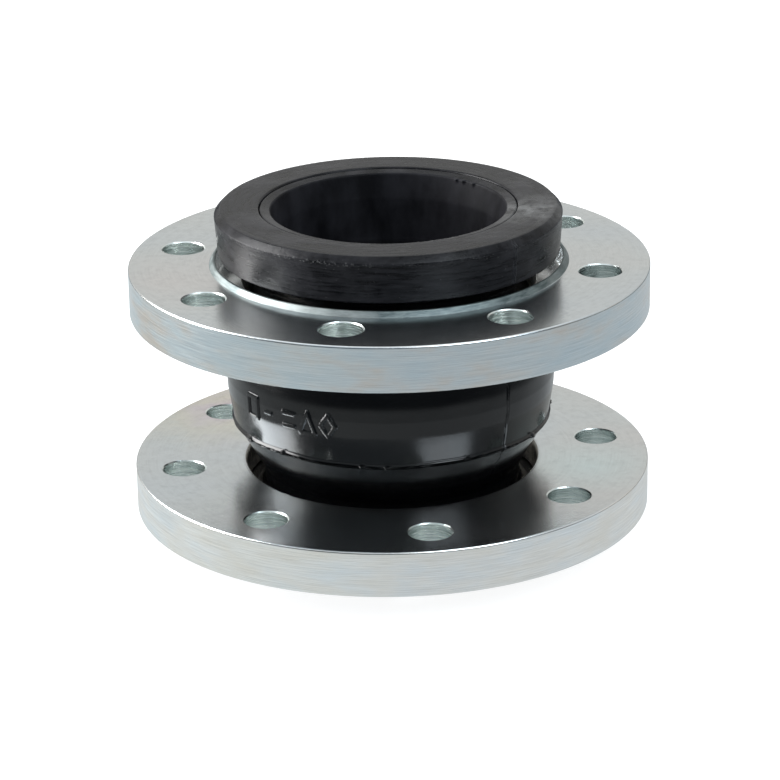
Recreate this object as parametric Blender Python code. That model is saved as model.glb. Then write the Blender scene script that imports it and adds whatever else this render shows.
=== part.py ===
"""Rubber expansion joint, DN100: a moulded rubber bellows with one arch between two loose steel flanges.

Frame: metres, +Z up along the pipe axis, origin at the centre of the lower sealing face.
The joint stands on its lower sealing face. The lower flange is seated against its bead. The
upper flange has dropped along the neck until its bore rests on the shoulder of the arch.
"""
import math

import bmesh
import bpy

MM = 0.001

# Bellows: overall, bead and arch
LENGTH = 144.0             # sealing face to sealing face
BEAD_HEIGHT = 19.5
BEAD_FACE_R = 73.2         # bead radius next to the sealing face
BEAD_BACK_R = 72.0         # bead radius at its back, so its side has a slight draft
BEAD_EDGE = 3.6            # rounding between the bead's face and its side
FACE_SEAM_R = 54.2         # where the inner tube's turned end meets the bead on the sealing face
BORE_MOUTH_R = 49.5
NECK_R = 54.8
NECK_FILLET = 3.5
SHOULDER_R = 67.3
SHOULDER_Z = 52.0          # the arch's lower corner; the upper half mirrors the lower one
CROWN_R = 69.9
BULGE_SHARE = 0.62         # of the shoulder-to-crown rise, reached halfway up to the crown
CONE_SLOPE = 0.58          # radius gained per millimetre of height, from neck to shoulder

# The wall's layers, as depths below its outer surface
COVER = (0.0, 2.3)
PLIES = ((4.4, 5.0), (3.5, 4.1), (2.6, 3.2))
TUBE = (5.3, 7.3)

# Inside the bead, heights measured from the sealing face
PLY_TURN_R = 69.2          # where the middle ply turns up outside the wire bundle
PLY_TURN_BASE = 3.9
PLY_TURN_TOP = 16.2
PLY_MIDDLE_DEPTH = 3.8
WIRE_R = 1.7
WIRE_ROWS = ((7.6, (57.0, 61.0, 65.0)), (11.5, (59.0, 63.0)))
FILLER = ((54.2, 13.9), (66.4, 13.9), (63.6, 16.8), (55.6, 16.8))

# Flanges: EN 1092-1 DN100 PN16 drilling
FLANGE_R = 110.0
FLANGE_THICKNESS = 19.5
FLANGE_EDGE = 0.8
BOLT_CIRCLE_R = 90.0
BOLT_HOLES = 8
BOLT_HOLE_R = 9.0
FLANGE_BORE_R = 62.0
BORE_EDGE = 2.2            # rounding of the bore on the arch side
SEAT_R = 73.25             # recess that the bead's back seats in
SEAT_DEPTH = 7.0
LIP_BASE_R = 75.9          # raised lip round the recess: its sloped side's foot and top
LIP_TOP_R = 74.3
LIP_HEIGHT = 2.4
LOWER_FLANGE_PHASE = 9.7   # degrees from +X to a bolt hole
UPPER_FLANGE_PHASE = 32.5
SEATED_FACE_Z = 12.85      # pipe side of the seated lower flange
UPPER_FLANGE_Z = 100.2     # arch side of the dropped upper flange

RUBBER_STEPS = 32
WIRE_STEPS = 24
WIRE_SIDES = 6
FLANGE_STEPS = 64
HOLE_STEPS = 16
GAP = 0.3
SHARP_ANGLE = math.radians(28)

RUBBER = ((0.018, 0.019, 0.021), 0.42, 0.0)
INNER_RUBBER = ((0.030, 0.030, 0.032), 0.70, 0.0)
FILLER_RUBBER = ((0.050, 0.045, 0.042), 0.75, 0.0)
NYLON_CORD = ((0.42, 0.36, 0.25), 0.80, 0.0)
HARD_WIRE = ((0.46, 0.44, 0.40), 0.35, 1.0)
ZINC_PLATE = ((0.66, 0.67, 0.68), 0.28, 1.0)


def clear_scene():
    for obj in list(bpy.data.objects):
        bpy.data.objects.remove(obj, do_unlink=True)


def material(name, look):
    """A Principled material of one colour, roughness and metallic value."""
    colour, roughness, metallic = look
    mat = bpy.data.materials.new(name)
    mat.use_nodes = True
    shader = mat.node_tree.nodes["Principled BSDF"]
    shader.inputs["Base Color"].default_value = (*colour, 1.0)
    shader.inputs["Roughness"].default_value = roughness
    shader.inputs["Metallic"].default_value = metallic
    mat.diffuse_color = (*colour, 1.0)
    return mat


def arc(centre, radius, start, end, steps):
    """Points along an arc in the (radius, height) plane. Angles are in degrees."""
    points = []
    for step in range(steps + 1):
        angle = math.radians(start + (end - start) * step / steps)
        points.append((centre[0] + radius * math.cos(angle), centre[1] + radius * math.sin(angle)))
    return points


def smooth_round_shape(obj):
    obj.data.shade_smooth()
    obj.data.set_sharp_from_angle(angle=SHARP_ANGLE)


def turned(name, outline, look, steps):
    """A closed ring: the (radius, height) outline in millimetres, turned about Z."""
    bm = bmesh.new()
    rings = []
    for step in range(steps):
        angle = 2 * math.pi * step / steps
        rings.append([
            bm.verts.new((r * math.cos(angle) * MM, r * math.sin(angle) * MM, z * MM))
            for r, z in outline
        ])
    count = len(outline)
    for step, ring in enumerate(rings):
        following = rings[(step + 1) % steps]
        for i in range(count):
            j = (i + 1) % count
            bm.faces.new((ring[i], following[i], following[j], ring[j]))
    bmesh.ops.recalc_face_normals(bm, faces=bm.faces)
    mesh = bpy.data.meshes.new(name)
    bm.to_mesh(mesh)
    bm.free()
    obj = bpy.data.objects.new(name, mesh)
    bpy.context.scene.collection.objects.link(obj)
    mesh.materials.append(material(name, look))
    smooth_round_shape(obj)
    return obj


def mirrored(outline):
    """The same outline at the upper end of the bellows."""
    return [(r, LENGTH - z) for r, z in outline]


def offset_line(line, depth):
    """The line moved sideways by depth, towards the bore side of the wall, with mitred corners."""
    moved = []
    for i, (r, z) in enumerate(line):
        before = line[max(i - 1, 0)]
        after = line[min(i + 1, len(line) - 1)]
        normals = []
        for (r0, z0), (r1, z1) in ((before, (r, z)), ((r, z), after)):
            length = math.hypot(r1 - r0, z1 - z0)
            if length > 0:
                normals.append((-(z1 - z0) / length, (r1 - r0) / length))
        nr = sum(n[0] for n in normals) / len(normals)
        nz = sum(n[1] for n in normals) / len(normals)
        stretch = depth / (nr * nr + nz * nz)
        moved.append((r + nr * stretch, z + nz * stretch))
    return moved


def wall_line():
    """The wall's outer surface between the beads, from the lower neck to the upper neck."""
    rise = (SHOULDER_R - NECK_R) / CONE_SLOPE
    lower_half = [
        (NECK_R, SHOULDER_Z - rise),
        (SHOULDER_R, SHOULDER_Z),
        (SHOULDER_R + BULGE_SHARE * (CROWN_R - SHOULDER_R), (SHOULDER_Z + LENGTH / 2) / 2),
    ]
    return [*lower_half, (CROWN_R, LENGTH / 2), *mirrored(lower_half)[::-1]]


def make_outer_cover():
    """The smooth outer rubber, from the back of one bead to the back of the other."""
    inner = offset_line(wall_line(), COVER[1])
    foot_r = NECK_R + NECK_FILLET
    lower_end = [
        (NECK_R - COVER[1], BEAD_HEIGHT - 2.3),
        (foot_r, BEAD_HEIGHT - 2.3),
        *arc((foot_r, BEAD_HEIGHT + NECK_FILLET), NECK_FILLET, 270, 180, 3),
    ]
    outline = lower_end + wall_line() + mirrored(lower_end)[::-1] + inner[::-1]
    return turned("outer_cover", outline, RUBBER, RUBBER_STEPS)


def make_cord_ply(number, near, far):
    """One nylon cord layer. It follows the wall and turns round the wire bundle at both ends."""
    neck_r = NECK_R - PLY_MIDDLE_DEPTH
    turn = [(PLY_TURN_R, PLY_TURN_TOP), (PLY_TURN_R, PLY_TURN_BASE), (neck_r, PLY_TURN_BASE)]
    path = turn + offset_line(wall_line(), PLY_MIDDLE_DEPTH) + mirrored(turn)[::-1]
    inside = offset_line(path, far - PLY_MIDDLE_DEPTH)
    outside = offset_line(path, near - PLY_MIDDLE_DEPTH)
    return turned(f"cord_ply_{number}", outside + inside[::-1], NYLON_CORD, RUBBER_STEPS)


def make_inner_tube():
    """The rubber lining of the bore. Its ends turn outwards to the seam on the sealing faces."""
    outer_r = NECK_R - TUBE[0]
    bore_r = NECK_R - TUBE[1]
    collar_top = PLY_TURN_BASE - 1.5
    outside = [(FACE_SEAM_R, 0.05), (FACE_SEAM_R, collar_top), (outer_r, collar_top)]
    inside = [(BORE_MOUTH_R, 1.2), (bore_r, 10.0)]
    outline = (
        outside
        + offset_line(wall_line(), TUBE[0])
        + mirrored(outside)[::-1]
        + mirrored(inside)
        + offset_line(wall_line(), TUBE[1])[::-1]
        + inside[::-1]
    )
    return turned("inner_tube", outline, INNER_RUBBER, RUBBER_STEPS)


def bead_outline():
    """The bead rubber: sealing face, drafted side and back, open inwards round the turned-up plies."""
    face_wall = PLY_TURN_BASE - 1.5
    side_wall = PLY_TURN_R + 1.5
    back_wall = BEAD_HEIGHT - 2.3
    inner_r = NECK_R + NECK_FILLET + GAP
    edge = arc((BEAD_FACE_R - BEAD_EDGE, BEAD_EDGE), BEAD_EDGE, 270, 360, 3)
    return [
        (FACE_SEAM_R + GAP, 0.0),
        *edge,
        (BEAD_BACK_R, BEAD_HEIGHT),
        (inner_r, BEAD_HEIGHT),
        (inner_r, back_wall),
        (side_wall, back_wall),
        (side_wall, face_wall),
        (FACE_SEAM_R + GAP, face_wall),
    ]


def make_bead(end, place):
    """The bead rubber, its filler strip and its bundle of hard wire hoops."""
    turned(f"{end}_bead_rubber", place(bead_outline()), RUBBER, RUBBER_STEPS)
    turned(f"{end}_bead_filler", place(FILLER), FILLER_RUBBER, RUBBER_STEPS)
    number = 1
    for height, radii in WIRE_ROWS:
        for radius in radii:
            section = arc((radius, height), WIRE_R, 0, 360, WIRE_SIDES)[:-1]
            turned(f"{end}_bead_wire_{number}", place(section), HARD_WIRE, WIRE_STEPS)
            number += 1


def flange_outline():
    """Half section of a flange with its arch side at height 0 and its pipe side upwards."""
    top = FLANGE_THICKNESS
    seat = top - SEAT_DEPTH
    return [
        (FLANGE_R - FLANGE_EDGE, 0.0),
        (FLANGE_R, FLANGE_EDGE),
        (FLANGE_R, top - FLANGE_EDGE),
        (FLANGE_R - FLANGE_EDGE, top),
        (LIP_BASE_R, top),
        (LIP_TOP_R, top + LIP_HEIGHT),
        (SEAT_R, top + LIP_HEIGHT),
        (SEAT_R, seat),
        (FLANGE_BORE_R, seat),
        *arc((FLANGE_BORE_R + BORE_EDGE, BORE_EDGE), BORE_EDGE, 180, 270, 2),
    ]


def bolt_hole_cutter(name):
    """Eight round bars on the bolt circle, left out of the model and used to cut a flange."""
    bm = bmesh.new()
    for i in range(BOLT_HOLES):
        angle = 2 * math.pi * i / BOLT_HOLES
        made = bmesh.ops.create_cone(
            bm, cap_ends=True, segments=HOLE_STEPS, depth=3 * FLANGE_THICKNESS * MM,
            radius1=BOLT_HOLE_R * MM, radius2=BOLT_HOLE_R * MM,
        )
        x = BOLT_CIRCLE_R * MM * math.cos(angle)
        y = BOLT_CIRCLE_R * MM * math.sin(angle)
        bmesh.ops.translate(bm, verts=made["verts"], vec=(x, y, FLANGE_THICKNESS / 2 * MM))
    mesh = bpy.data.meshes.new(name)
    bm.to_mesh(mesh)
    bm.free()
    cutter = bpy.data.objects.new(name, mesh)
    bpy.context.scene.collection.objects.link(cutter)
    cutter.hide_render = True
    cutter.display_type = "WIRE"
    return cutter


def make_flange(name, arch_side_z, phase, pipe_side_down):
    """One loose flange on the pipe axis, turned to its bolt-hole phase and cut by its cutter."""
    flange = turned(name, flange_outline(), ZINC_PLATE, FLANGE_STEPS)
    cutter = bolt_hole_cutter(name + "_bolt_holes")
    cutter.parent = flange
    cut = flange.modifiers.new("bolt_holes", "BOOLEAN")
    cut.operation = "DIFFERENCE"
    cut.solver = "EXACT"
    cut.object = cutter
    flip = math.pi if pipe_side_down else 0.0
    flange.rotation_euler = (flip, 0.0, math.radians(phase))
    flange.location = (0.0, 0.0, arch_side_z * MM)
    return flange


def build():
    clear_scene()
    make_flange(
        "lower_flange", SEATED_FACE_Z + FLANGE_THICKNESS, LOWER_FLANGE_PHASE, pipe_side_down=True,
    )
    make_flange("upper_flange", UPPER_FLANGE_Z, UPPER_FLANGE_PHASE, pipe_side_down=False)
    make_outer_cover()
    make_inner_tube()
    for number, (near, far) in enumerate(PLIES, start=1):
        make_cord_ply(number, near, far)
    make_bead("lower", list)
    make_bead("upper", mirrored)


build()
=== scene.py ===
"""Looks of the rubber expansion joint: two loose zinc-plated flanges on a moulded rubber bellows."""
import math

import bpy
import numpy as np
from mathutils import Matrix, Vector


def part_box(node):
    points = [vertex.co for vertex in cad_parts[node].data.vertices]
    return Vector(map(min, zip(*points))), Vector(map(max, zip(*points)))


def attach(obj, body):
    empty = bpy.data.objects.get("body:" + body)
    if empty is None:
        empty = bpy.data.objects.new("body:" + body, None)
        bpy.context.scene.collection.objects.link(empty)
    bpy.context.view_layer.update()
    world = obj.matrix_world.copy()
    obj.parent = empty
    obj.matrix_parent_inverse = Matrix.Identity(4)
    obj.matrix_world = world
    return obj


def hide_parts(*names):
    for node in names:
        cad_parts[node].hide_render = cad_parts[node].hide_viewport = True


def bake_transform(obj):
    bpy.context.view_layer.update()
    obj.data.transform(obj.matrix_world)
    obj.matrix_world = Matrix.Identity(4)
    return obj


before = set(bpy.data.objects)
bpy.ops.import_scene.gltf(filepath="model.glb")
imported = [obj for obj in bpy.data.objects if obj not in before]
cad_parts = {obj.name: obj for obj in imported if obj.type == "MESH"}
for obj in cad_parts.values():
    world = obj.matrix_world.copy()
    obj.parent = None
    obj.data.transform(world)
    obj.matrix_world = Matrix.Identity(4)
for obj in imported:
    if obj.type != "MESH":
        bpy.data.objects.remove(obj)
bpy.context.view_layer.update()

MM = 0.001

# Places read from the frame, in millimetres
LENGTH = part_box("upper_bead_rubber")[1].z / MM
LOWER_ARCH_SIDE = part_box("lower_flange")[1].z / MM
UPPER_ARCH_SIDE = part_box("upper_flange")[0].z / MM
BEAD_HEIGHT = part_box("lower_bead_rubber")[1].z / MM

# Bellows sizes, in millimetres: the same design as the CAD model
BEAD_FACE_R = 73.2
BEAD_BACK_R = 72.0
BEAD_CHAMFER = 2.6
FACE_SEAM_R = 54.2
BORE_MOUTH_R = 49.5
NECK_R = 54.8
NECK_FILLET = 3.5
SHOULDER_R = 67.3
SHOULDER_Z = 52.0
HAUNCH_Z = 66.0
CROWN_R = 69.9
CONE_SLOPE = 0.58
COVER = (0.0, 2.3)
PLIES = ((4.4, 5.0), (3.5, 4.1), (2.6, 3.2))
TUBE = (5.3, 7.3)
PLY_MIDDLE = 3.8
BEAD_SKIN = 1.5
PLY_TURN_R = 69.2
PLY_TURN_BASE = 3.9
PLY_TURN_TOP = 16.2
WIRE_R = 1.7
WIRE_ROWS = ((7.6, (57.0, 61.0, 65.0)), (11.5, (59.0, 63.0)))
FILLER = ((54.2, 13.9), (66.4, 13.9), (63.6, 16.8), (55.6, 16.8))

# Flange sizes, in millimetres
FLANGE_R = 110.0
FLANGE_THICKNESS = 19.5
BOLT_CIRCLE_R = 90.0
BOLT_HOLES = 8
BOLT_HOLE_R = 9.0
BORE_R = 62.0
SEAT_R = 73.25
SEAT_DEPTH = 7.0
LIP_BASE_R = 75.9
LIP_TOP_R = 74.3
LIP_HEIGHT = 2.4
LOWER_PHASE = 9.7
UPPER_PHASE = 32.5

# Stretches of the bellows: name, lower body, upper body, and the heights that bound it
END_SPLIT = 24.0
ZONES = (
    ("lower_neck", "lower_end", "arch_lower", END_SPLIT, 40.0),
    ("lower_arch", "arch_lower", "arch_middle", 40.0, 61.0),
    ("upper_arch", "arch_middle", "arch_upper", 61.0, 97.0),
    ("upper_neck", "arch_upper", "upper_end", 97.0, 120.0),
)

# ---------------------------------------------------------------- outlines

def rounded(points, closed=True, turn=12.0):
    """Round the corners of a (radius, height, fillet) outline. turn is the arc's step in degrees."""
    result = []
    count = len(points)
    for i, (r, z, fillet) in enumerate(points):
        here = np.array((r, z), float)
        if fillet <= 0 or (not closed and i in (0, count - 1)):
            result.append((r, z))
            continue
        before = np.array(points[i - 1][:2], float) - here
        after = np.array(points[(i + 1) % count][:2], float) - here
        before /= np.linalg.norm(before)
        after /= np.linalg.norm(after)
        half = math.acos(np.clip(before @ after, -1, 1)) / 2
        middle = before + after
        centre = here + middle / np.linalg.norm(middle) * fillet / math.sin(half)
        start = here + before * fillet / math.tan(half) - centre
        end = here + after * fillet / math.tan(half) - centre
        first = math.atan2(start[1], start[0])
        sweep = (math.atan2(end[1], end[0]) - first + math.pi) % (2 * math.pi) - math.pi
        steps = max(2, round(abs(math.degrees(sweep)) / turn))
        for step in range(steps + 1):
            angle = first + sweep * step / steps
            result.append((centre[0] + fillet * math.cos(angle), centre[1] + fillet * math.sin(angle)))
    return result


def mirrored(outline):
    """The same outline at the upper end of the bellows."""
    return [(r, LENGTH - z) for r, z in outline]


def wall_line():
    """(heights, radii) of the wall's outer surface, rounded at the necks, shoulders and crown."""
    rise = (SHOULDER_R - NECK_R) / CONE_SLOPE
    lower = [
        (NECK_R, 20.0, 0),
        (NECK_R, SHOULDER_Z - rise, 6.0),
        (SHOULDER_R, SHOULDER_Z, 2.2),
        (CROWN_R - 0.35, HAUNCH_Z, 16.0),
    ]
    crown = [(CROWN_R, LENGTH / 2, 0.0)]
    upper = [(r, LENGTH - z, f) for r, z, f in reversed(lower)]
    line = rounded(lower + crown + upper, closed=False, turn=3.0)
    return np.array([z for _, z in line]), np.array([r for r, _ in line])


WALL_Z, WALL_R = wall_line()


def layer_radius(z, depth):
    """Radius at height z of the surface that lies depth below the wall's outer surface."""
    step = 0.4
    slope = (np.interp(z + step, WALL_Z, WALL_R) - np.interp(z - step, WALL_Z, WALL_R)) / (2 * step)
    return np.interp(z, WALL_Z, WALL_R) - depth * np.sqrt(1 + slope * slope)


# ---------------------------------------------------------------- relief of the moulded surface

RIDGE_Z = 52.4
RIDGE_HEIGHT = 1.0
RIDGE_REACH = 1.5
GROOVE_DEPTH = 0.75
GROOVE_REACH = 0.45
NUB_HEIGHT = 1.1
NUB_REACH = 2.0
SEAM_HEIGHT = 0.5
SEAM_REACH = 0.5
SEAM_ANGLES = (-46.6, 133.4)
NUBS = (-150, -131.5, -100.3, -91.6, -62.9, -30, 4, 41, 77, 96, 133, 171)


def bump(distance, width):
    """A smooth hill of height 1 that falls to nothing at width."""
    t = np.clip(np.abs(distance) / width, 0, 1)
    return (1 - t * t) ** 2


def angle_gap(angle, other):
    """Signed difference of two angles in degrees, between -180 and 180."""
    return (angle - other + 180) % 360 - 180


def parting_ridge(angle, z):
    """The mould's parting line round the lower shoulder: a low bead with a groove in it."""
    wave = 0.25 * np.sin(np.radians(angle * 5 + 20)) + 0.12 * np.sin(np.radians(angle * 13))
    distance = z - (RIDGE_Z + wave)
    height = RIDGE_HEIGHT * bump(distance, RIDGE_REACH)
    height = height - GROOVE_DEPTH * bump(distance - 0.05, GROOVE_REACH)
    for nub in NUBS:
        across = angle_gap(angle, nub) * math.radians(1) * SHOULDER_R
        away = np.hypot(across * 0.8, distance + 0.15)
        height = height + NUB_HEIGHT * bump(away ** 2, NUB_REACH)
    return height


def upright_seams(angle, z):
    """The two upright flash lines where the halves of the mould met, faint on the cones."""
    height = 0
    for seam in SEAM_ANGLES:
        wander = 0.5 * np.sin(z * 0.13) + 0.18 * np.sin(z * 0.61)
        across = angle_gap(angle, seam) * math.radians(1) * SHOULDER_R + wander
        height = height + SEAM_HEIGHT * bump(across, SEAM_REACH)
        height = height - SEAM_HEIGHT / 2 * bump(across - 0.8, SEAM_REACH)
    on_cone = np.clip((np.abs(z - LENGTH / 2) - 20) / 3, 0, 1)
    return height * (1 - 0.8 * on_cone)


MARK_START = -145.3
MARK_SPAN = 37.0
MARK_Z = 69.5
MARK_HEIGHT = 11.0
STROKE = 1.05
MARK_RELIEF = 0.75
MARK_SLOPE = 0.45
# Plain raised shapes, each a list of strokes between corners, in units of the mark's height
MARKS = (
    (0.0, ((-0.3, -0.4), (0.3, -0.4), (0.3, 0.4), (-0.3, 0.4), (-0.3, -0.4))),
    (0.95, ((-0.16, 0.0), (0.16, 0.0))),
    (2.0, ((-0.25, 0.25), (0.25, 0.25))),
    (2.0, ((-0.25, -0.25), (0.25, -0.25))),
    (2.85, ((-0.32, -0.4), (0.0, 0.42), (0.32, -0.4), (-0.32, -0.4))),
    (3.7, ((0.0, -0.42), (0.3, 0.0), (0.0, 0.42), (-0.3, 0.0), (0.0, -0.42))),
)


def stroke_distance(x, y, a, b):
    """Distance of the points (x, y) from the stroke between the corners a and b."""
    ax, ay = a
    bx, by = b
    length2 = (bx - ax) ** 2 + (by - ay) ** 2
    t = np.clip(((x - ax) * (bx - ax) + (y - ay) * (by - ay)) / length2, 0, 1)
    return np.hypot(x - ax - t * (bx - ax), y - ay - t * (by - ay))


def raised_marks(angle, z):
    """A row of plain raised shapes on the arch, in place of the size marking."""
    along = angle_gap(angle, MARK_START) * math.radians(1) * CROWN_R / MARK_HEIGHT
    up = (z - MARK_Z) / MARK_HEIGHT
    nearest = np.full(np.broadcast(angle, z).shape, 9.0)
    for place, corners in MARKS:
        for a, b in zip(corners, corners[1:]):
            start = (a[0] + place, a[1])
            end = (b[0] + place, b[1])
            nearest = np.minimum(nearest, stroke_distance(along, up, start, end))
    edge = np.clip((STROKE - nearest * MARK_HEIGHT) / MARK_SLOPE, 0, 1)
    return MARK_RELIEF * edge * edge * (3 - 2 * edge)


def wall_relief(angle, z):
    """All the moulded detail of the outer cover, in millimetres outwards."""
    return parting_ridge(angle, z) + upright_seams(angle, z) + raised_marks(angle, z)


def bead_relief(angle, r, z):
    """The flash line down the bead's side and the soft waviness of moulded rubber."""
    flash_height = 0.4
    second_flash = 0.3
    waviness = 0.06
    side = np.clip(r - BEAD_BACK_R + 1.2, 0, 1)
    height = 0
    for seam in SEAM_ANGLES:
        wander = 0.22 * np.sin(z * 0.9) + 0.12 * np.sin(z * 2.3)
        across = angle_gap(angle, seam + 0.8) * math.radians(1) * BEAD_FACE_R + wander
        height = height + flash_height * bump(across, 0.45)
        height = height + second_flash * bump(across - 1.3, 0.4)
    return side * height + waviness * np.sin(np.radians(angle * 3 + z * 9))


# ---------------------------------------------------------------- meshes

# Edges that turn more than this many degrees are shaded sharp
TURNED_SHARP = 40
FLANGE_SHARP = 28


def even_angles(count):
    """Angles in degrees at equal steps round the axis."""
    return np.arange(count) * 360.0 / count


def sorted_angles(groups, least):
    """All the groups' angles in order, leaving out those closer than least to the one before."""
    merged = np.sort(np.concatenate(groups) % 360)
    keep = np.concatenate(([True], np.diff(merged) > least))
    return merged[keep]


def seam_angles():
    """Angles round the bead, close together at its flash lines."""
    fine = [np.arange(seam - 1.5, seam + 3.5, 0.09) for seam in SEAM_ANGLES]
    return sorted_angles([even_angles(320), *fine], 0.08)


def detailed_angles():
    """Angles round the bellows, close together at the seams and the raised marks."""
    angles = [even_angles(480)]
    margin = 5
    angles.append(np.arange(MARK_START - margin, MARK_START + MARK_SPAN + margin, 0.22))
    for places, reach, step in ((SEAM_ANGLES, 1.6, 0.1), (NUBS, 1.3, 0.2)):
        for place in places:
            angles.append(np.arange(place - reach, place + reach, step))
    return sorted_angles(angles, 0.09)


def shell_arrays(radii, heights, angles):
    """Corner points and quads of a closed ring. radii and heights are (angles, outline points)."""
    turns = np.radians(angles)[:, None]
    points = np.stack((radii * np.cos(turns), radii * np.sin(turns), heights), axis=2)
    points = points.reshape(-1, 3) * MM
    rows, columns = radii.shape
    i = np.arange(rows)[:, None]
    j = np.arange(columns)[None, :]
    k = (i + 1) % rows
    m = (j + 1) % columns
    quads = np.stack((i * columns + j, k * columns + j, k * columns + m, i * columns + m), axis=2)
    return points, quads.reshape(-1, 4)


def outline_area(outline):
    """Signed area of a closed outline, positive when it runs anticlockwise."""
    r, z = np.array(outline, float).T
    return 0.5 * np.sum(r * np.roll(z, -1) - np.roll(r, -1) * z)


def in_scene(name, data):
    """A new object with this data, linked to the scene."""
    obj = bpy.data.objects.new(name, data)
    bpy.context.scene.collection.objects.link(obj)
    return obj


def mesh_object(name, shells, finish):
    """One object made of one or more (points, quads) shells."""
    points, faces, start = [], [], 0
    for shell_points, shell_faces in shells:
        points.append(shell_points)
        faces.append(shell_faces + start)
        start += len(shell_points)
    mesh = bpy.data.meshes.new(name)
    mesh.from_pydata(np.concatenate(points).tolist(), [], np.concatenate(faces).tolist())
    mesh.materials.append(finish)
    mesh.shade_smooth()
    mesh.set_sharp_from_angle(angle=math.radians(TURNED_SHARP))
    return in_scene(name, mesh)


def turned_shell(outline, angles, relief=None):
    """A closed ring shell from a (radius, height) outline, with an optional relief."""
    if outline_area(outline) < 0:
        outline = outline[::-1]
    r, z = np.array(outline, float).T
    shape = (len(angles), len(r))
    radii = np.broadcast_to(r, shape).copy()
    heights = np.broadcast_to(z, shape).copy()
    if relief is not None:
        radii += relief(np.asarray(angles)[:, None], r[None, :], z[None, :])
    return shell_arrays(radii, heights, angles)


def turned(name, outline, finish, steps=192, angles=None, relief=None):
    """One object turned from a closed (radius, height) outline."""
    if angles is None:
        angles = even_angles(steps)
    return mesh_object(name, [turned_shell(outline, angles, relief)], finish)


# ---------------------------------------------------------------- materials

# Places where the colour changes, by finish or by a painted highlight: (centre, radius) in millimetres
TINTED_ZINC = ((-72, 62, 32), 62)
COOL_ZINC = ((84, -20, 32), 34)
# The bead's top is made lighter in a patch on its right.
BEAD_TOP_RIGHT_PATCH = ((59, -10, 143), 24)
# Light flecks on the bead's edge, thickest at the front left: partly chips, partly a painted highlight.
CHIPS_AND_EDGE_HIGHLIGHT = ((-46, -56, 141), 46)
RUBBER_CRUMBS = ((20, -45, 143.5), 19)


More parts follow.
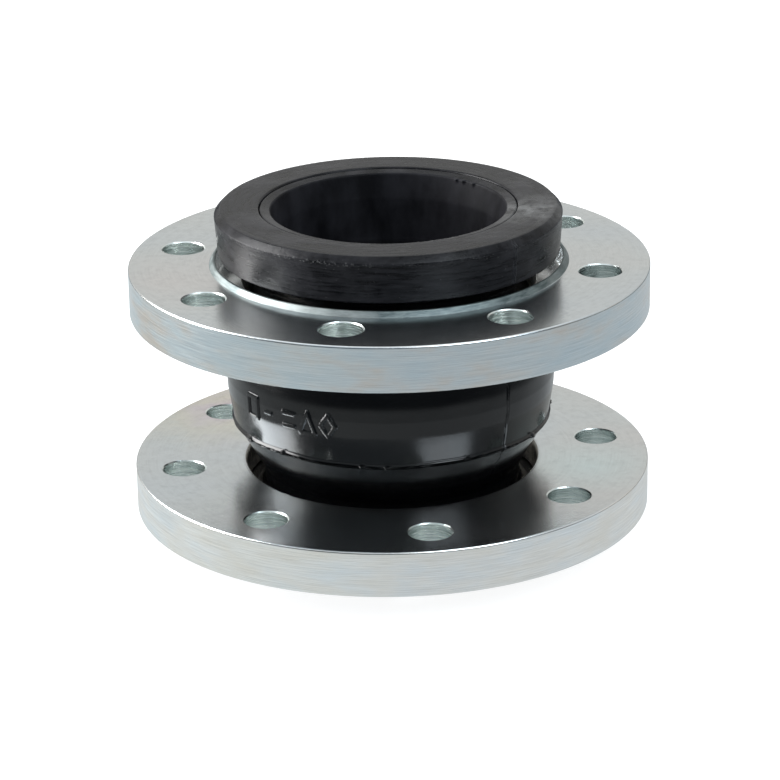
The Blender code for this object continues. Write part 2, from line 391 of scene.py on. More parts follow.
class Nodes:
    """Short calls for building one material's node tree."""

    def __init__(self, name):
        """Start a material with its Principled shader and object coordinates."""
        self.material = bpy.data.materials.new(name)
        self.material.use_nodes = True
        self.tree = self.material.node_tree
        self.shader = self.tree.nodes["Principled BSDF"]
        self.place = self.add("ShaderNodeTexCoord").outputs["Object"]

    def add(self, kind, **settings):
        """A new node of this kind, with its settings."""
        node = self.tree.nodes.new(kind)
        for key, value in settings.items():
            setattr(node, key, value)
        return node

    def link(self, source, target):
        """Join an output to an input."""
        self.tree.links.new(source, target)

    def maths(self, operation, a, b=None):
        """One Math node on numbers or outputs."""
        node = self.add("ShaderNodeMath", operation=operation)
        for socket, value in zip(node.inputs, (a, b)):
            if value is None:
                continue
            if isinstance(value, (int, float)):
                socket.default_value = value
            else:
                self.link(value, socket)
        return node.outputs[0]

    def times(self, *values):
        """The product of numbers or outputs."""
        result = values[0]
        for value in values[1:]:
            result = self.maths("MULTIPLY", result, value)
        return result

    def scaled(self, value, factor, least):
        """The value times the factor, plus the least."""
        return self.maths("ADD", self.times(value, factor), least)

    def stretched(self, scale):
        """Object coordinates scaled by (x, y, z)."""
        node = self.add("ShaderNodeMapping")
        node.inputs["Scale"].default_value = scale
        self.link(self.place, node.inputs["Vector"])
        return node.outputs[0]

    def axes(self):
        """x, y, z and the distance from the upright axis."""
        split = self.add("ShaderNodeSeparateXYZ")
        self.link(self.place, split.inputs[0])
        x, y, z = split.outputs
        return x, y, z, self.length(x, y)

    def length(self, a, b):
        """Length of the vector (a, b)."""
        return self.maths("SQRT", self.maths("ADD", self.times(a, a), self.times(b, b)))

    def polar(self, radial, around, height):
        """Coordinates that run with the radius, round the axis and up it, each scaled."""
        x, y, z, r = self.axes()
        join = self.add("ShaderNodeCombineXYZ")
        unit_x = self.times(self.maths("DIVIDE", x, r), around)
        unit_y = self.times(self.maths("DIVIDE", y, r), around)
        rise = self.maths("ADD", self.times(r, radial), self.times(z, height))
        self.link(unit_x, join.inputs[0])
        self.link(unit_y, join.inputs[1])
        self.link(rise, join.inputs[2])
        return join.outputs[0]

    def near(self, centre, radius):
        """1 at a point given in millimetres, falling to 0 at the radius."""
        node = self.add("ShaderNodeVectorMath", operation="DISTANCE")
        self.link(self.place, node.inputs[0])
        node.inputs[1].default_value = [value * MM for value in centre]
        return self.ramp(node.outputs["Value"], (0.0, 1.0), (radius * MM, 0.0))

    def ring(self, radius, width):
        """1 at a radius, falling to 0 at the width each side of it, both in millimetres."""
        r = self.axes()[3]
        away = self.maths("ABSOLUTE", self.maths("SUBTRACT", r, radius * MM))
        return self.ramp(self.maths("DIVIDE", away, width * MM), (0.0, 1.0), (1.0, 0.0))

    def edge_wear_and_highlight(self):
        """1 on the corner where the bead's face meets its side, at either end."""
        reach = 1.3 * MM
        _, _, z, r = self.axes()
        rise = self.maths("ABSOLUTE", self.maths("SUBTRACT", z, LENGTH / 2 * MM))
        out = self.maths("SUBTRACT", r, (BEAD_FACE_R - 0.1) * MM)
        up = self.maths("SUBTRACT", rise, (LENGTH / 2 - BEAD_CHAMFER - 0.5) * MM)
        return self.ramp(self.maths("DIVIDE", self.length(out, up), reach), (0.0, 1.0), (1.0, 0.0))

    def noise(self, vector, scale, detail=3.0, roughness=0.55):
        """A Noise texture's factor."""
        node = self.add("ShaderNodeTexNoise")
        node.inputs["Scale"].default_value = scale
        node.inputs["Detail"].default_value = detail
        node.inputs["Roughness"].default_value = roughness
        self.link(vector, node.inputs["Vector"])
        return node.outputs["Fac"]

    def ramp(self, fac, *stops):
        """Colour ramp. Each stop is (position, grey or colour)."""
        node = self.add("ShaderNodeValToRGB")
        elements = node.color_ramp.elements
        while len(elements) < len(stops):
            elements.new(0.5)
        for element, (position, colour) in zip(elements, stops):
            rgb = (colour,) * 3 if isinstance(colour, (int, float)) else colour
            element.position = position
            element.color = (*rgb, 1.0)
        self.link(fac, node.inputs["Fac"])
        return node.outputs["Color"]

    def mix(self, fac, a, b, blend="MIX"):
        """A Mix node on two colours, each a number, a tuple or an output."""
        node = self.add("ShaderNodeMix", data_type="RGBA", blend_type=blend)
        sockets = (node.inputs["Factor"], node.inputs["A"], node.inputs["B"])
        for socket, value in zip(sockets, (fac, a, b)):
            if isinstance(value, (int, float)):
                socket.default_value = value if socket.type == "VALUE" else (value, value, value, 1)
            elif isinstance(value, tuple):
                socket.default_value = (*value, 1.0)
            else:
                self.link(value, socket)
        return node.outputs["Result"]

    def bumps(self, *layers):
        """Bump layers, each (height, strength, distance in millimetres), stacked on the shader."""
        normal = None
        for height, strength, distance in layers:
            node = self.add("ShaderNodeBump")
            node.inputs["Strength"].default_value = strength
            node.inputs["Distance"].default_value = distance * MM
            self.link(height, node.inputs["Height"])
            if normal is not None:
                self.link(normal, node.inputs["Normal"])
            normal = node.outputs["Normal"]
        self.link(normal, self.shader.inputs["Normal"])

    def set(self, **values):
        """Give the shader's inputs a number or an output each."""
        for key, value in values.items():
            socket = self.shader.inputs[key.replace("_", " ")]
            if isinstance(value, (int, float)):
                socket.default_value = value
            else:
                self.link(value, socket)


def zinc_face():
    """Machined and zinc-plated face: near mirror, faint turning lines, clouded passivation."""
    n = Nodes("zinc_face")
    cloud = n.noise(n.place, 22, 4)
    tint = n.ramp(
        n.noise(n.place, 11, 2),
        (0.32, (0.67, 0.72, 0.755)), (0.5, (0.70, 0.73, 0.735)), (0.68, (0.725, 0.715, 0.71)),
    )
    lines = n.noise(n.polar(2600, 3, 0), 1.0, 3, 0.6)
    rainbow = n.ramp(
        n.noise(n.place, 26, 3),
        (0.36, (0.74, 0.66, 0.70)), (0.5, (0.78, 0.74, 0.62)), (0.64, (0.64, 0.74, 0.74)),
    )
    tint = n.mix(n.near(*TINTED_ZINC), tint, rainbow)
    tint = n.mix(n.near(*COOL_ZINC), tint, (0.69, 0.79, 0.80))
    mottle = n.ramp(n.noise(n.place, 260, 4, 0.7), (0.30, 0.90), (0.55, 1.0))
    tint = n.mix(1.0, tint, mottle, "MULTIPLY")
    tint = n.mix(1.0, tint, n.ramp(lines, (0.34, 0.93), (0.56, 1.0)), "MULTIPLY")
    n.set(Base_Color=tint, Metallic=1.0)
    n.set(Roughness=n.scaled(cloud, 0.12, 0.15))
    n.bumps((lines, 0.30, 0.06), (n.noise(n.place, 700, 2), 0.06, 0.05))
    return n.material


def zinc_rim(name, rim_tones_and_reflection):
    """Turned and plated rim: streaks that run round the flange. Its tones carry painted reflection of
    what the rim mirrors.
    """
    n = Nodes(name)
    streaks = n.noise(n.polar(0, 5, 3400), 1.0, 4, 0.7)
    patches = n.noise(n.polar(0, 4, 110), 1.0, 3)
    # Painted reflection: the rim's tones stand for what it mirrors, warmer or cooler, and lighter on
    # the lower rim.
    base = n.ramp(patches, (0.30, rim_tones_and_reflection[0]), (0.5, rim_tones_and_reflection[1]), (0.72, rim_tones_and_reflection[2]))
    shade = n.ramp(streaks, (0.30, 0.76), (0.58, 1.0))
    n.set(Base_Color=n.mix(1.0, base, shade, "MULTIPLY"), Metallic=1.0)
    n.set(Roughness=n.scaled(streaks, 0.20, 0.14))
    n.bumps((streaks, 0.25, 0.05), (n.noise(n.place, 300, 2), 0.05, 0.05))
    return n.material


def turned_lip():
    """The raised lip round the seat: turned coarsely and greenish. Its zinc is far darker than the
    faces' as painted shade that dims its reflections, and its light patches are painted glints.
    """
    n = Nodes("turned_lip")
    lines = n.noise(n.polar(2400, 9, 2400), 1.0, 4, 0.7)
    # Painted shade: the lip's zinc is much darker than the faces' so that its reflections come out dim;
    # the light patches below are painted glints.
    base = n.ramp(lines, (0.34, (0.07, 0.09, 0.092)), (0.64, (0.19, 0.225, 0.225)))
    glint = n.ramp(n.noise(n.place, 30, 2), (0.45, 0.0), (0.62, 1.0))
    base = n.mix(n.times(glint, 0.3), base, (0.50, 0.51, 0.50))
    n.set(Base_Color=base, Metallic=1.0)
    n.set(Roughness=n.scaled(lines, 0.2, 0.42))
    n.bumps((lines, 0.35, 0.08))
    return n.material


def drilled_hole():
    """Bore of a bolt hole: ragged lines left by the drill, thin greenish plating. Its tones are lighter
    than the faces' zinc, as painted light for the light that comes through the holes.
    """
    n = Nodes("drilled_hole")
    lines = n.noise(n.stretched((60, 60, 1700)), 1.0, 3, 0.7)
    # Painted light: the hole walls are made lighter than the faces' zinc, for the light that comes
    # through the holes.
    base = n.ramp(lines, (0.35, (0.60, 0.66, 0.65)), (0.6, (0.86, 0.90, 0.88)))
    n.set(Base_Color=base, Metallic=1.0)
    n.set(Roughness=n.scaled(lines, 0.25, 0.12))
    n.bumps((lines, 0.55, 0.25))
    return n.material


def rough_bore():
    """The flange's bore and its edge: rough-turned, with residue of the plating bath."""
    n = Nodes("rough_bore")
    blotch = n.noise(n.polar(120, 14, 260), 1.0, 5, 0.7)
    base = n.ramp(
        blotch,
        (0.36, (0.26, 0.25, 0.23)), (0.52, (0.55, 0.54, 0.50)), (0.68, (0.74, 0.72, 0.66)),
    )
    n.set(Base_Color=base, Metallic=1.0)
    n.set(Roughness=n.scaled(blotch, 0.3, 0.25))
    n.bumps((blotch, 0.5, 0.3), (n.noise(n.place, 900, 2), 0.3, 0.1))
    return n.material


def gloss_rubber():
    """Moulded outer rubber: black and glossy, with a soft orange peel and a little dust."""
    n = Nodes("gloss_rubber")
    cloud = n.noise(n.place, 30, 3)
    dust = n.ramp(n.noise(n.place, 520, 3, 0.7), (0.66, 0.0), (0.74, 1.0))
    black = (0.0018, 0.002, 0.0024)
    n.set(Base_Color=n.mix(n.times(dust, 0.25), black, (0.02, 0.02, 0.022)))
    n.set(Roughness=n.scaled(cloud, 0.12, 0.10))
    n.shader.inputs["Specular IOR Level"].default_value = 0.42
    n.bumps(
        (n.noise(n.place, 34, 2), 0.22, 1.6),
        (n.noise(n.place, 170, 2), 0.12, 0.25),
        (n.noise(n.place, 1300, 2), 0.08, 0.06),
    )
    return n.material


def bead_rubber():
    """Trimmed and buffed bead rubber: streaked round the side and worn grey in patches, lighter in a
    patch on the right of its top, with light flecks on its edge that are partly chips and partly a
    painted highlight.
    """
    n = Nodes("bead_rubber")
    streaks = n.noise(n.polar(500, 5, 700), 1.0, 5, 0.68)
    base = n.ramp(streaks, (0.36, (0.0015, 0.0016, 0.0022)), (0.66, (0.014, 0.0139, 0.0160)))
    worn = n.ramp(n.noise(n.place, 38, 5, 0.66), (0.47, 0.0), (0.68, 1.0))
    base = n.mix(n.times(worn, 0.8), base, (0.025, 0.0246, 0.0275))
    # A lighter patch on the right of the bead's top.
    patch_noise = n.ramp(n.noise(n.place, 90, 5, 0.7), (0.40, 0.0), (0.60, 1.0))
    right_patch = n.times(n.near(*BEAD_TOP_RIGHT_PATCH), patch_noise)
    base = n.mix(right_patch, base, (0.12, 0.12, 0.12))
    # Light flecks on the edge: partly chips, partly a painted highlight that is thickest at the front
    # left.
    flakes = n.ramp(n.noise(n.polar(1500, 90, 1500), 1.0, 4, 0.7), (0.55, 0.0), (0.64, 1.0))
    chip_and_highlight_share = n.scaled(n.near(*CHIPS_AND_EDGE_HIGHLIGHT), 0.7, 0.22)
    chips_and_edge_highlight = n.times(n.edge_wear_and_highlight(), flakes, chip_and_highlight_share)
    base = n.mix(chips_and_edge_highlight, base, (0.16, 0.16, 0.16))
    grains = n.ramp(n.noise(n.place, 1500, 2, 0.6), (0.52, 0.0), (0.58, 1.0))
    crumbs = n.times(n.near(*RUBBER_CRUMBS), n.ring(BORE_MOUTH_R + 0.3, 1.1), grains)
    base = n.mix(crumbs, base, (0.42, 0.42, 0.40))
    fleck = n.ramp(n.noise(n.place, 900, 2, 0.6), (0.70, 0.0), (0.75, 1.0))
    base = n.mix(n.times(fleck, 0.2), base, (0.20, 0.20, 0.19))
    n.set(Base_Color=base)
    n.set(Roughness=n.scaled(streaks, 0.24, 0.17))
    n.shader.inputs["Specular IOR Level"].default_value = 0.12
    n.bumps((streaks, 0.8, 0.2), (worn, 0.3, 0.3), (n.noise(n.place, 900, 3), 0.35, 0.08))
    return n.material


def tube_rubber():
    """Lining of the bore: dull, with faint blotches of mould release."""
    n = Nodes("tube_rubber")
    blotch = n.noise(n.stretched((1, 1, 0.5)), 60, 4, 0.6)
    base = n.ramp(blotch, (0.35, (0.004, 0.004, 0.005)), (0.65, (0.016, 0.016, 0.019)))
    n.set(Base_Color=base)
    n.shader.inputs["Specular IOR Level"].default_value = 0.08
    n.set(Roughness=n.scaled(blotch, 0.2, 0.45))
    n.bumps((blotch, 0.2, 0.2), (n.noise(n.place, 700, 2), 0.2, 0.08))
    return n.material


def nylon_cord():
    """Rubberised cord fabric: fine parallel cords."""
    n = Nodes("nylon_cord")
    cords = n.add("ShaderNodeTexWave", bands_direction="DIAGONAL")
    cords.inputs["Scale"].default_value = 450
    n.link(n.place, cords.inputs["Vector"])
    base = n.ramp(cords.outputs["Fac"], (0.2, (0.10, 0.085, 0.06)), (0.7, (0.50, 0.43, 0.30)))
    n.set(Base_Color=base, Roughness=0.8)
    n.bumps((cords.outputs["Fac"], 0.6, 0.3))
    return n.material


def hard_wire():
    """Drawn steel wire with a brassy film."""
    n = Nodes("hard_wire")
    lines = n.noise(n.polar(500, 3, 500), 1.0, 3)
    n.set(Base_Color=n.ramp(lines, (0.3, (0.40, 0.36, 0.28)), (0.7, (0.62, 0.58, 0.48))), Metallic=1.0)
    n.set(Roughness=n.scaled(lines, 0.2, 0.25))
    n.bumps((lines, 0.2, 0.05))
    return n.material


def filler_rubber():
    """Hard rubber of the strip over the wires: dull and brownish."""
    n = Nodes("filler_rubber")
    grain = n.noise(n.place, 500, 3)
    base = n.ramp(grain, (0.3, (0.035, 0.031, 0.028)), (0.7, (0.07, 0.063, 0.058)))
    n.set(Base_Color=base, Roughness=0.75)
    n.bumps((grain, 0.3, 0.1))
    return n.material


# ---------------------------------------------------------------- bellows

def close_rows(low, high):
    """Heights between low and high, closer together at the parting ridge and the raised marks."""
    ridge_reach = 2.2
    mark_reach = 0.62 * MARK_HEIGHT
    rows = np.concatenate((
        np.linspace(low, high, max(4, int((high - low) / 1.1))),
        np.arange(RIDGE_Z - ridge_reach, RIDGE_Z + ridge_reach, 0.2),
        np.arange(MARK_Z - mark_reach, MARK_Z + mark_reach, 0.32),
    ))
    rows = np.unique(np.round(rows[(rows >= low) & (rows <= high)], 2))
    keep = np.concatenate(([True], np.diff(rows) > 0.1))
    keep[-1] = True
    return rows[keep]


def layer_shell(low, high, near, far, angles, rows, relief=None):
    """A closed ring of one wall layer between two heights."""
    inner = np.linspace(high, low, 16)
    heights = np.concatenate((rows, inner))
    radii = np.concatenate((layer_radius(rows, near), layer_radius(inner, far)))
    shape = (len(angles), len(heights))
    radii = np.broadcast_to(radii, shape).copy()
    if relief is not None:
        radii[:, :len(rows)] += relief(np.asarray(angles)[:, None], rows[None, :])
    return shell_arrays(radii, np.broadcast_to(heights, shape).copy(), angles)


def zone_pieces(name, low_body, high_body, low, high, finishes):
    """The cover, tube and cord plies of one stretch of the wall, between two heights. The two bodies
    are not used.
    """
    angles = detailed_angles()
    plain = even_angles(144)
    coarse = np.linspace(low, high, 16)
    cover = mesh_object(
        f"cover_{name}",
        [layer_shell(low, high, *COVER, angles, close_rows(low, high), wall_relief)],
        finishes["gloss"],
    )
    tube = mesh_object(
        f"tube_{name}",
        [layer_shell(low, high, *TUBE, even_angles(192), coarse)],
        finishes["tube"],
    )
    plies = mesh_object(
        f"plies_{name}",
        [layer_shell(low, high, near, far, plain, coarse) for near, far in PLIES],
        finishes["cord"],
    )
    for piece, nodes, slot in (
        (cover, ("outer_cover",), "outer_rubber"),
        (tube, ("inner_tube",), "inner_rubber"),
        (plies, ("cord_ply_1", "cord_ply_2", "cord_ply_3"), "nylon_cord"),
    ):
        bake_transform(piece)
        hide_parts(*nodes)


def bead_section():
    """Half section of the bead rubber, open inwards round the turned-up plies."""
    seam_r = FACE_SEAM_R + 0.2
    face_wall = PLY_TURN_BASE - BEAD_SKIN
    back_wall = BEAD_HEIGHT - COVER[1]
    side_wall = PLY_TURN_R + BEAD_SKIN
    inner_r = NECK_R + NECK_FILLET + 0.02
    return rounded([
        (seam_r, 0.0, 0.9),
        (BEAD_FACE_R - BEAD_CHAMFER, 0.0, 1.0),
        (BEAD_FACE_R, BEAD_CHAMFER, 1.0),
        (BEAD_BACK_R, BEAD_HEIGHT, 1.1),
        (inner_r, BEAD_HEIGHT, 0),
        (inner_r, back_wall, 0),
        (side_wall, back_wall, 0.5),
        (side_wall, face_wall, 0.5),
        (seam_r, face_wall, 0),
    ])


def spaced(outline, spacing):
    """The closed outline with points added so that none are further apart than spacing."""
    result = []
    for a, b in zip(outline, outline[1:] + outline[:1]):
        steps = max(1, math.ceil(math.dist(a, b) / spacing))
        for step in range(steps):
            share = step / steps
            result.append((a[0] + (b[0] - a[0]) * share, a[1] + (b[1] - a[1]) * share))
    return result


def cover_foot():
    """The cover's end: it turns outwards in a fillet onto the back of the bead."""
    foot_r = NECK_R + NECK_FILLET
    fillet = [
        (foot_r - NECK_FILLET * math.sin(t), BEAD_HEIGHT + NECK_FILLET * (1 - math.cos(t)))
        for t in np.linspace(0, math.pi / 2, 8)
    ]
    inner_r = NECK_R - COVER[1]
    low = BEAD_HEIGHT - COVER[1]
    return [(inner_r, low), (foot_r, low), *fillet, (NECK_R, END_SPLIT), (inner_r, END_SPLIT)]


def tube_end():
    """The tube's end: its collar turns outwards on the sealing face and rolls into the bore."""
    outer_r = NECK_R - TUBE[0]
    bore_r = NECK_R - TUBE[1]
    collar_r = FACE_SEAM_R - 0.05
    collar_top = PLY_TURN_BASE - BEAD_SKIN
    return rounded([
        (collar_r, 0.35, 0.8),
        (collar_r, collar_top, 0),
        (outer_r, collar_top, 0.8),
        (outer_r, END_SPLIT, 0),
        (bore_r, END_SPLIT, 0),
        (bore_r, 12.0, 8.0),
        (BORE_MOUTH_R, 1.3, 1.0),
    ])


def ragged_edge(angle, r, z):
    """The bore's mouth, trimmed by hand: a few torn bits on its edge."""
    rise = np.abs(z - LENGTH / 2) - LENGTH / 2
    at_edge = bump(r - BORE_MOUTH_R, 0.9) * bump(rise + 1.2, 1.6)
    tear_depth = 0.95
    torn = bump(angle_gap(angle, 48), 13) + 0.4 * bump(angle_gap(angle, -62), 22)
    teeth = np.maximum(0, np.sin(np.radians(angle * 97)) + np.sin(np.radians(angle * 61 + 40)))
    return -tear_depth * torn * teeth * at_edge


def tube_mouth(end, place, finishes):
    """The tube's end. Its collar on the sealing face is buffed like the bead; the bore is dull."""
    outline = place(spaced(tube_end(), 1.0))
    piece = turned(f"tube_{end}_mouth", outline, finishes["bead"], steps=720, relief=ragged_edge)
    piece.data.materials.append(finishes["tube"])
    for polygon in piece.data.polygons:
        if math.hypot(polygon.center.x, polygon.center.y) < (BORE_MOUTH_R + 0.5) * MM:
            polygon.material_index = 1
    return piece


def ply_end(near, far):
    """One ply's end: down the neck, under the wire bundle and up outside it."""
    middle = (near + far) / 2 - PLY_MIDDLE
    half = (far - near) / 2

    def path(offset):
        """The middle ply's line, moved by the offset away from the wires."""
        neck_r = NECK_R - PLY_MIDDLE - offset
        base = PLY_TURN_BASE - offset
        turn_r = PLY_TURN_R + offset
        corner = 1.2 + offset
        line = [
            (neck_r, END_SPLIT, 0),
            (neck_r, base, corner),
            (turn_r, base, corner),
            (turn_r, PLY_TURN_TOP, 0),
        ]
        return rounded(line, closed=False)

    return path(middle - half) + path(middle + half)[::-1]


def end_pieces(end, place, finishes):
    """Everything that moves with one sealing face: bead rubber, wall ends, filler and wires."""
    body = f"{end}_end"
    section = place(spaced(bead_section(), 1.6))
    bead = turned(f"{end}_bead", section, finishes["bead"], angles=seam_angles(), relief=bead_relief)
    foot = turned(f"cover_{end}_foot", place(cover_foot()), finishes["gloss"])
    mouth = tube_mouth(end, place, finishes)
    filler = turned(f"{end}_filler", place(FILLER), finishes["filler"])
    pieces = [
        (bead, (f"{end}_bead_rubber",), "outer_rubber"),
        (foot, ("outer_cover",), "outer_rubber"),
        (mouth, ("inner_tube",), "inner_rubber"),
        (filler, (f"{end}_bead_filler",), "filler_rubber"),
    ]
    turns = [turned_shell(place(ply_end(near, far)), even_angles(144)) for near, far in PLIES]
    plies = mesh_object(f"plies_{end}_turn", turns, finishes["cord"])
    pieces.append((plies, ("cord_ply_1", "cord_ply_2", "cord_ply_3"), "nylon_cord"))
    number = 1
    for height, radii in WIRE_ROWS:
        for radius in radii:
            section = [
                (radius + WIRE_R * math.cos(t), height + WIRE_R * math.sin(t))
                for t in np.linspace(0, 2 * math.pi, 14, endpoint=False)
            ]
            wire = turned(f"{end}_wire_{number}", place(section), finishes["wire"], steps=120)
            pieces.append((wire, (f"{end}_bead_wire_{number}",), "hard_wire"))
            number += 1
    for piece, nodes, slot in pieces:
        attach(piece, body)
        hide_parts(*nodes)


# ---------------------------------------------------------------- flanges

def flange_section():
    """Half section of a flange, arch side at height 0 and pipe side upwards."""
    top = FLANGE_THICKNESS
    seat = top - SEAT_DEPTH
    return rounded([
        (FLANGE_R, 0.0, 0.8),
        (FLANGE_R, top, 0.8),
        (LIP_BASE_R, top, 0.4),
        (LIP_TOP_R, top + LIP_HEIGHT, 0.5),
        (SEAT_R, top + LIP_HEIGHT, 0.3),
        (SEAT_R, seat, 0.8),
        (BORE_R, seat, 0.6),
        (BORE_R, 0.0, 2.2),
    ], turn=15)


def hole_section():
    """Side of the tool that cuts one bolt hole, with a broken edge at both faces."""
    top = FLANGE_THICKNESS
    chamfer = 0.45
    beyond = 2.0
    wide = BOLT_HOLE_R + chamfer + beyond
    return [
        (wide, -beyond),
        (BOLT_HOLE_R, chamfer),
        (BOLT_HOLE_R, top - chamfer),
        (wide, top + beyond),
    ]


def hole_cutter():
    """All the bolt-hole tools as one mesh of separate closed solids."""
    sides = 64
    rings = hole_section()
    points, faces = [], []
    for i in range(BOLT_HOLES):
        centre = 2 * math.pi * i / BOLT_HOLES
        cx = BOLT_CIRCLE_R * math.cos(centre)
        cy = BOLT_CIRCLE_R * math.sin(centre)
        base = len(points)
        for r, z in rings:
            for s in range(sides):
                t = 2 * math.pi * s / sides
                points.append(((cx + r * math.cos(t)) * MM, (cy + r * math.sin(t)) * MM, z * MM))
        for k in range(len(rings) - 1):
            for s in range(sides):
                a = base + k * sides + s
                b = base + k * sides + (s + 1) % sides
                faces.append((a, b, b + sides, a + sides))
        faces.append(tuple(base + s for s in reversed(range(sides))))
        faces.append(tuple(base + (len(rings) - 1) * sides + s for s in range(sides)))
    mesh = bpy.data.meshes.new("hole_cutter")
    mesh.from_pydata(points, [], faces)
    return in_scene("hole_cutter", mesh)


def apply_modifiers(obj):
    """Replace the object's mesh by its evaluated mesh, and drop the modifiers."""
    graph = bpy.context.evaluated_depsgraph_get()
    mesh = bpy.data.meshes.new_from_object(obj.evaluated_get(graph))
    obj.modifiers.clear()
    obj.data = mesh


def sharpen_flats(mesh):
    """Mark the borders of the flat faces and the upright walls sharp, so their shading stays true."""
    flats = [round(abs(polygon.normal.z), 3) in (0.0, 1.0) for polygon in mesh.polygons]
    sides = {}
    for polygon in mesh.polygons:
        for key in polygon.edge_keys:
            sides.setdefault(key, []).append(polygon.index)
    for edge in mesh.edges:
        pair = sides.get(edge.key, [])
        if len(pair) == 2 and flats[pair[0]] != flats[pair[1]]:
            edge.use_edge_sharp = True


FACE_SLOT, RIM_SLOT, HOLE_SLOT, BORE_SLOT, LIP_SLOT = range(5)


def paint_flange(obj):
    """Give each polygon of the flange the material slot of its part."""
    for polygon in obj.data.polygons:
        c = polygon.center / MM
        r = math.hypot(c.x, c.y)
        upright = abs(polygon.normal.z) < 0.75
        in_hole = abs(r - BOLT_CIRCLE_R) < BOLT_HOLE_R + 1
        if upright and in_hole:
            polygon.material_index = HOLE_SLOT
        elif r > FLANGE_R - 0.25 and abs(polygon.normal.z) < 0.9:
            polygon.material_index = RIM_SLOT
        elif r < BORE_R + 0.9:
            polygon.material_index = BORE_SLOT
        elif c.z > FLANGE_THICKNESS + 0.05:
            polygon.material_index = LIP_SLOT
        else:
            polygon.material_index = FACE_SLOT


def flange(end, arch_side, phase, upside_down, finishes):
    """One flange with its bolt holes cut, turned by its phase and put at its height."""
    piece = turned(f"{end}_flange_plate", flange_section(), finishes["face"], steps=384)
    cutter = hole_cutter()
    cut = piece.modifiers.new("holes", "BOOLEAN")
    cut.operation = "DIFFERENCE"
    cut.solver = "EXACT"
    cut.object = cutter
    apply_modifiers(piece)
    bpy.data.objects.remove(cutter)
    mesh = piece.data
    mesh.materials.clear()
    for key in ("face", f"{end}_rim", "hole", "bore", "lip"):
        mesh.materials.append(finishes[key])
    paint_flange(piece)
    mesh.shade_smooth()
    mesh.set_sharp_from_angle(angle=math.radians(FLANGE_SHARP))
    sharpen_flats(mesh)
    tip = Matrix.Rotation(math.pi if upside_down else 0.0, 4, "X")
    turn = Matrix.Rotation(math.radians(phase), 4, "Z")
    mesh.transform(Matrix.Translation((0, 0, arch_side * MM)) @ turn @ tip)
    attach(piece, f"{end}_flange")
    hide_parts(f"{end}_flange")


# ---------------------------------------------------------------- studio

AIM_Z = 0.0703
CAMERA_DISTANCE = 1.40274
CAMERA_ELEVATION = 20.116
CAMERA_ROLL = 0.883
CAMERA_SHIFT = (-0.00087, -0.02665)
LENS = 151.6
SENSOR = 36.0

# Softboxes: name, direction from the object, distance, size, watts and colour
LIGHTS = (
    ("softbox_left", (-0.95, 0.14, 0.42), 1.35, (0.85, 1.3), 46.0, (1, 1, 1)),
    ("softbox_right", (0.46, -0.54, 0.70), 1.3, (0.75, 0.9), 11.0, (0.85, 0.93, 1.0)),
    ("overhead", (0.05, 0.3, 1.0), 1.4, (1.2, 1.2), 2.0, (1, 1, 1)),
)

# Tones of the surroundings that the object mirrors
FRONT_WALL = (0.09, 0.115, 0.135)
BACK_WALL = (0.69, 0.69, 0.67)
ROOF = (0.80, 0.86, 0.90)
HORIZON = (0.05, 0.06, 0.07)
GROUND_LEFT = (0.68, 0.73, 0.74)
GROUND_RIGHT = (0.61, 0.65, 0.67)

FLOOR_HALF = 6.0
FLOOR_Z = -0.0002
FLOOR_GREY = 0.35
FLOOR_GLOW = 0.86


def make_camera():
    """A camera in front of the object and a little above it."""
    camera = in_scene("camera", bpy.data.cameras.new("camera"))
    elevation = math.radians(CAMERA_ELEVATION)
    away = Vector((0, -math.cos(elevation), math.sin(elevation)))
    camera.location = Vector((0, 0, AIM_Z)) + away * CAMERA_DISTANCE
    camera.rotation_euler = (-away).to_track_quat("-Z", "Y").to_euler()
    camera.rotation_euler.rotate_axis("Z", math.radians(-CAMERA_ROLL))
    camera.data.lens = LENS
    camera.data.sensor_width = SENSOR
    camera.data.shift_x, camera.data.shift_y = CAMERA_SHIFT
    camera.data.clip_end = 20.0
    bpy.context.scene.camera = camera


def area_light(name, direction, distance, size, power, colour):
    """A rectangular softbox that faces the object."""
    data = bpy.data.lights.new(name, "AREA")
    data.shape = "RECTANGLE"
    data.size, data.size_y = size
    data.energy = power
    data.color = colour
    light = in_scene(name, data)
    towards = Vector(direction).normalized()
    light.location = Vector((0, 0, AIM_Z)) + towards * distance
    light.rotation_euler = (-towards).to_track_quat("-Z", "Y").to_euler()


def make_world():
    """A soft light tent. The part below the horizon is what the object mirrors of the floor."""
    world = bpy.data.worlds.new("studio")
    bpy.context.scene.world = world
    world.use_nodes = True
    tree = world.node_tree
    split = tree.nodes.new("ShaderNodeSeparateXYZ")
    tree.links.new(tree.nodes.new("ShaderNodeTexCoord").outputs["Generated"], split.inputs[0])

    def share(axis, low, high):
        """0 to 1 as the direction's x, y or z goes from low to high."""
        node = tree.nodes.new("ShaderNodeMapRange")
        node.interpolation_type = "SMOOTHSTEP"
        node.inputs["From Min"].default_value = low
        node.inputs["From Max"].default_value = high
        tree.links.new(split.outputs[axis], node.inputs["Value"])
        return node.outputs["Result"]

    def mix(factor, a, b):
        """From a to b by the factor, each a colour or an output."""
        node = tree.nodes.new("ShaderNodeMix")
        node.data_type = "RGBA"
        tree.links.new(factor, node.inputs["Factor"])
        for socket, tone in ((node.inputs["A"], a), (node.inputs["B"], b)):
            if isinstance(tone, tuple):
                socket.default_value = (*tone, 1)
            else:
                tree.links.new(tone, socket)
        return node.outputs["Result"]

    walls = mix(share("Y", -0.5, 0.35), FRONT_WALL, BACK_WALL)
    above = mix(share("Z", 0.45, 0.95), walls, ROOF)
    ground = mix(share("X", -0.9, 0.4), GROUND_LEFT, GROUND_RIGHT)
    below = mix(share("Z", -0.06, -0.33), HORIZON, ground)
    light = mix(share("Z", -0.01, 0.02), below, above)
    tree.links.new(light, tree.nodes["Background"].inputs["Color"])


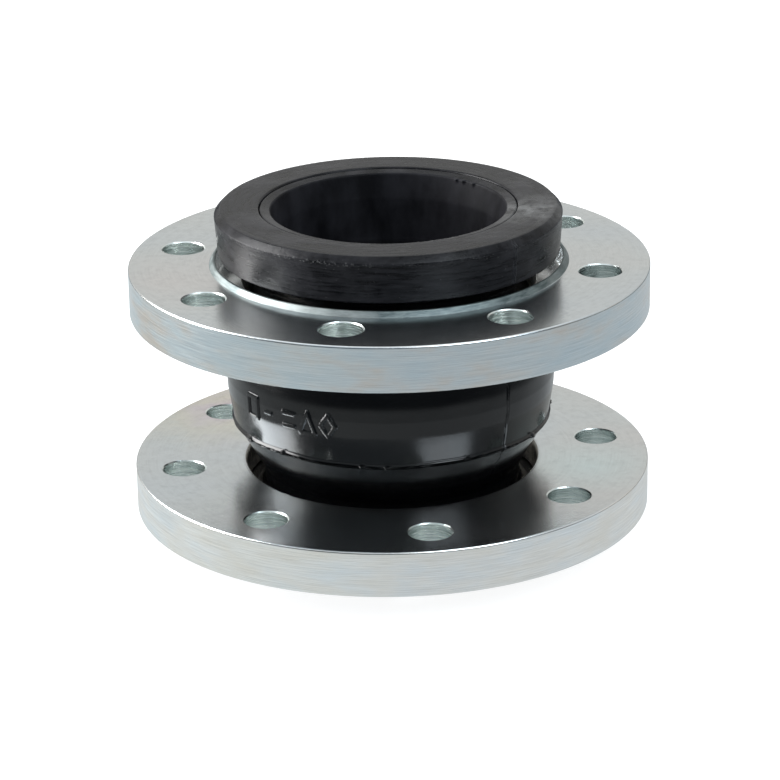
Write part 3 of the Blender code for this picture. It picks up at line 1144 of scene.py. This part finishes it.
def make_floor():
    """A white floor. It is left out of reflections: the world below the horizon stands for it there."""
    half = FLOOR_HALF
    corners = [(-half, -half, 0), (half, -half, 0), (half, half, 0), (-half, half, 0)]
    mesh = bpy.data.meshes.new("floor")
    mesh.from_pydata(corners, [], [(0, 1, 2, 3)])
    floor = in_scene("floor", mesh)
    finish = bpy.data.materials.new("floor")
    finish.use_nodes = True
    shader = finish.node_tree.nodes["Principled BSDF"]
    shader.inputs["Base Color"].default_value = (FLOOR_GREY, FLOOR_GREY, FLOOR_GREY, 1)
    shader.inputs["Roughness"].default_value = 0.9
    shader.inputs["Specular IOR Level"].default_value = 0.1
    shader.inputs["Emission Color"].default_value = (1, 1, 1, 1)
    shader.inputs["Emission Strength"].default_value = FLOOR_GLOW
    mesh.materials.append(finish)
    floor.location.z = FLOOR_Z
    floor.visible_glossy = False


def make_studio():
    """Camera, surroundings, floor and lights."""
    make_camera()
    make_world()
    make_floor()
    for light in LIGHTS:
        area_light(*light)
    scene = bpy.context.scene
    scene.view_settings.view_transform = "Standard"
    scene.view_settings.look = "None"


# Rim tones with painted reflection: the lower rim is made far lighter than the upper, and both carry
# warm and cool tints, for the floor and faces they mirror.
UPPER_RIM_TONES_AND_REFLECTION = ((0.62, 0.71, 0.76), (0.68, 0.73, 0.75), (0.72, 0.66, 0.60))
LOWER_RIM_TONES_AND_REFLECTION = ((0.91, 0.95, 0.97), (0.97, 0.96, 0.93), (0.95, 0.91, 0.84))


def main():
    """Build the studio, the finishes and every piece."""
    make_studio()
    finishes = {
        "face": zinc_face(),
        "upper_rim": zinc_rim("upper_rim", UPPER_RIM_TONES_AND_REFLECTION),
        "lower_rim": zinc_rim("lower_rim", LOWER_RIM_TONES_AND_REFLECTION),
        "lip": turned_lip(),
        "hole": drilled_hole(),
        "bore": rough_bore(),
        "gloss": gloss_rubber(),
        "bead": bead_rubber(),
        "tube": tube_rubber(),
        "cord": nylon_cord(),
        "wire": hard_wire(),
        "filler": filler_rubber(),
    }
    flange("lower", LOWER_ARCH_SIDE, LOWER_PHASE, True, finishes)
    flange("upper", UPPER_ARCH_SIDE, UPPER_PHASE, False, finishes)
    end_pieces("lower", list, finishes)
    end_pieces("upper", mirrored, finishes)
    for zone in ZONES:
        zone_pieces(*zone, finishes)


main()
